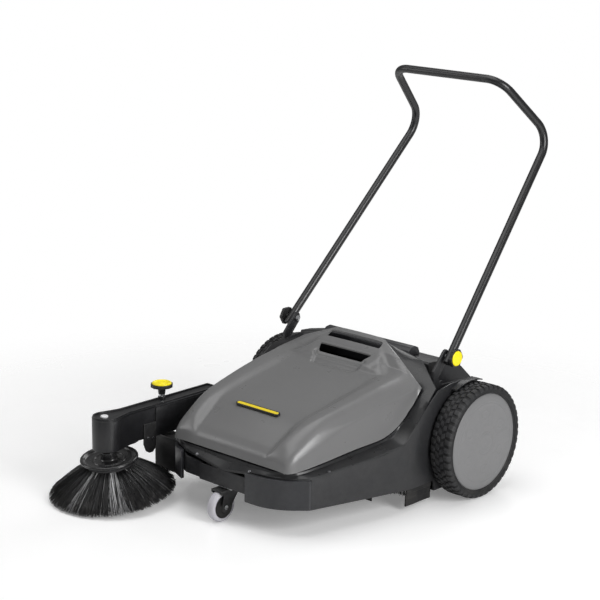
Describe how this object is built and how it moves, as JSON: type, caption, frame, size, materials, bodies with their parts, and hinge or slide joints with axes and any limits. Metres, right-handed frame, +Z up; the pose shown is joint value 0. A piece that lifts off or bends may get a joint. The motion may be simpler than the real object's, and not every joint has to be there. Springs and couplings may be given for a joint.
{
  "type": "walk-behind sweeper",
  "caption": "Walk-behind push sweeper: geared roller brush, belt-driven tilted side brush on a lifting arm, slide-out waste container, folding push handle and front swivel caster.",
  "frame": {"origin": "on the ground plane, on the centre plane, directly under the axis of the two main wheels", "axes": "+Z up, -Y the direction of travel (the front, where the caster is), +X the machine's left side, opposite the side brush"},
  "size_m": [0.846, 1.2477, 1.0501],
  "materials": {
    "housing_black": "satin textured",
    "frame_black": "satin",
    "hood_grey": "satin gloss",
    "badge": "gloss",
    "guard_black": "satin",
    "zinc_screw": "zinc plated",
    "seal_rubber": "matte",
    "steel": "turned",
    "belt": "satin",
    "container_black": "satin",
    "grip_black": "satin",
    "handle_black": "satin powder coat",
    "knob_black": "satin",
    "knob_yellow": "satin",
    "tyre": "matte",
    "rim_black": "satin",
    "cover_grey": "satin",
    "gear_nylon": "satin",
    "bush_bronze": "satin",
    "roller_plastic": "matte",
    "roller_bristle": "fibrous",
    "pulley": "satin",
    "arm_black": "satin",
    "cap_light": "gloss",
    "bracket_black": "satin",
    "hub_black": "gloss",
    "side_bristle": "fibrous",
    "caster_black": "satin",
    "caster_tread": "satin"
  },
  "bodies": {
    "chassis": {"lower_housing": "housing_black", "hood_frame": "frame_black", "hood": "hood_grey", "hood_badge": "badge", "left_corner_guard": "guard_black", "right_corner_guard": "guard_black", "housing_screws": "zinc_screw", "side_seals": "seal_rubber", "front_flap": "seal_rubber", "stub_axles": "steel", "axle_rings": "steel", "roller_bearings": "steel", "handle_bolts": "steel", "arm_pivot_pin": "steel", "arm_support": "bracket_black", "drive_belt": "belt", "caster_plate": "steel"},
    "container": {"waste_container": "container_black", "container_grip": "grip_black", "container_lip": "seal_rubber"},
    "handle": {"push_handle": "handle_black"},
    "left_knob": {"left_star_knob": "knob_black", "left_knob_cap": "knob_yellow"},
    "right_knob": {"right_star_knob": "knob_black", "right_knob_cap": "knob_yellow"},
    "left_wheel": {"left_tyre": "tyre", "left_rim": "rim_black", "left_wheel_cover": "cover_grey", "left_drive_gear": "gear_nylon", "left_bushes": "bush_bronze"},
    "right_wheel": {"right_tyre": "tyre", "right_rim": "rim_black", "right_wheel_cover": "cover_grey", "right_drive_gear": "gear_nylon", "right_bushes": "bush_bronze"},
    "roller": {"roller_shaft": "steel", "roller_core": "roller_plastic", "roller_bristles": "roller_bristle", "left_pinion": "gear_nylon", "drive_pulley": "pulley"},
    "freewheel_pinion": {"right_pinion": "gear_nylon"},
    "arm": {"brush_arm": "arm_black", "brush_arm_cover": "arm_black", "arm_cap": "cap_light", "arm_stop_plate": "bracket_black", "stop_plate_screws": "zinc_screw", "spindle_bushes": "bush_bronze"},
    "side_brush": {"brush_spindle": "steel", "brush_pulley": "pulley", "brush_hub": "hub_black", "brush_bristles": "side_bristle"},
    "adjuster": {"height_screw": "steel", "height_knob": "knob_black", "height_knob_cap": "knob_yellow"},
    "caster": {"caster_fork": "caster_black", "caster_axle": "steel"},
    "caster_wheel": {"caster_hub": "hub_black", "caster_tyre": "caster_tread"}
  },
  "joints": [
    {"name": "left_wheel_spin", "type": "hinge", "parent": "chassis", "child": "left_wheel", "pos_m": [0.333, 0, 0.15], "axis": [1, 0, 0], "continuous": true},
    {"name": "right_wheel_spin", "type": "hinge", "parent": "chassis", "child": "right_wheel", "pos_m": [-0.333, 0, 0.15], "axis": [1, 0, 0], "continuous": true},
    {"name": "roller_spin", "type": "hinge", "parent": "chassis", "child": "roller", "pos_m": [0, -0.13968, 0.115], "axis": [1, 0, 0], "continuous": true},
    {"name": "freewheel_spin", "type": "hinge", "parent": "chassis", "child": "freewheel_pinion", "pos_m": [-0.271, -0.13968, 0.115], "axis": [1, 0, 0], "continuous": true},
    {"name": "side_brush_lift", "type": "hinge", "parent": "chassis", "child": "arm", "pos_m": [-0.313, -0.338, 0.205], "axis": [-1, 0, 0], "range_deg": [0, 12], "deforming": ["drive_belt"]},
    {"name": "side_brush_spin", "type": "hinge", "parent": "arm", "child": "side_brush", "pos_m": [-0.313, -0.672, 0.02], "axis": [0, -0.1219, 0.9925], "continuous": true},
    {"name": "height_knob_turn", "type": "hinge", "parent": "arm", "child": "adjuster", "pos_m": [-0.328, -0.485, 0.2], "axis": [0, 0, 1], "range_deg": [-360, 360]},
    {"name": "handle_fold", "type": "hinge", "parent": "chassis", "child": "handle", "pos_m": [0, -0.045, 0.37], "axis": [1, 0, 0], "range_deg": [-15, 105]},
    {"name": "left_knob_turn", "type": "hinge", "parent": "chassis", "child": "left_knob", "pos_m": [0.295, -0.045, 0.37], "axis": [1, 0, 0], "range_deg": [0, 360]},
    {"name": "right_knob_turn", "type": "hinge", "parent": "chassis", "child": "right_knob", "pos_m": [-0.295, -0.045, 0.37], "axis": [-1, 0, 0], "range_deg": [0, 360]},
    {"name": "container_slide", "type": "slide", "parent": "chassis", "child": "container", "axis": [0, 1, 0], "range_m": [0, 0.35]},
    {"name": "caster_swivel", "type": "hinge", "parent": "chassis", "child": "caster", "pos_m": [0, -0.566, 0.085], "axis": [0, 0, 1], "continuous": true},
    {"name": "caster_roll", "type": "hinge", "parent": "caster", "child": "caster_wheel", "pos_m": [0, -0.592, 0.04], "axis": [1, 0, 0], "continuous": true}
  ],
  "couplings": [
    {"joint": "roller_spin", "follows": "left_wheel_spin", "ratio": -3},
    {"joint": "side_brush_spin", "follows": "left_wheel_spin", "ratio": 2},
    {"joint": "freewheel_spin", "follows": "right_wheel_spin", "ratio": -3}
  ]
}
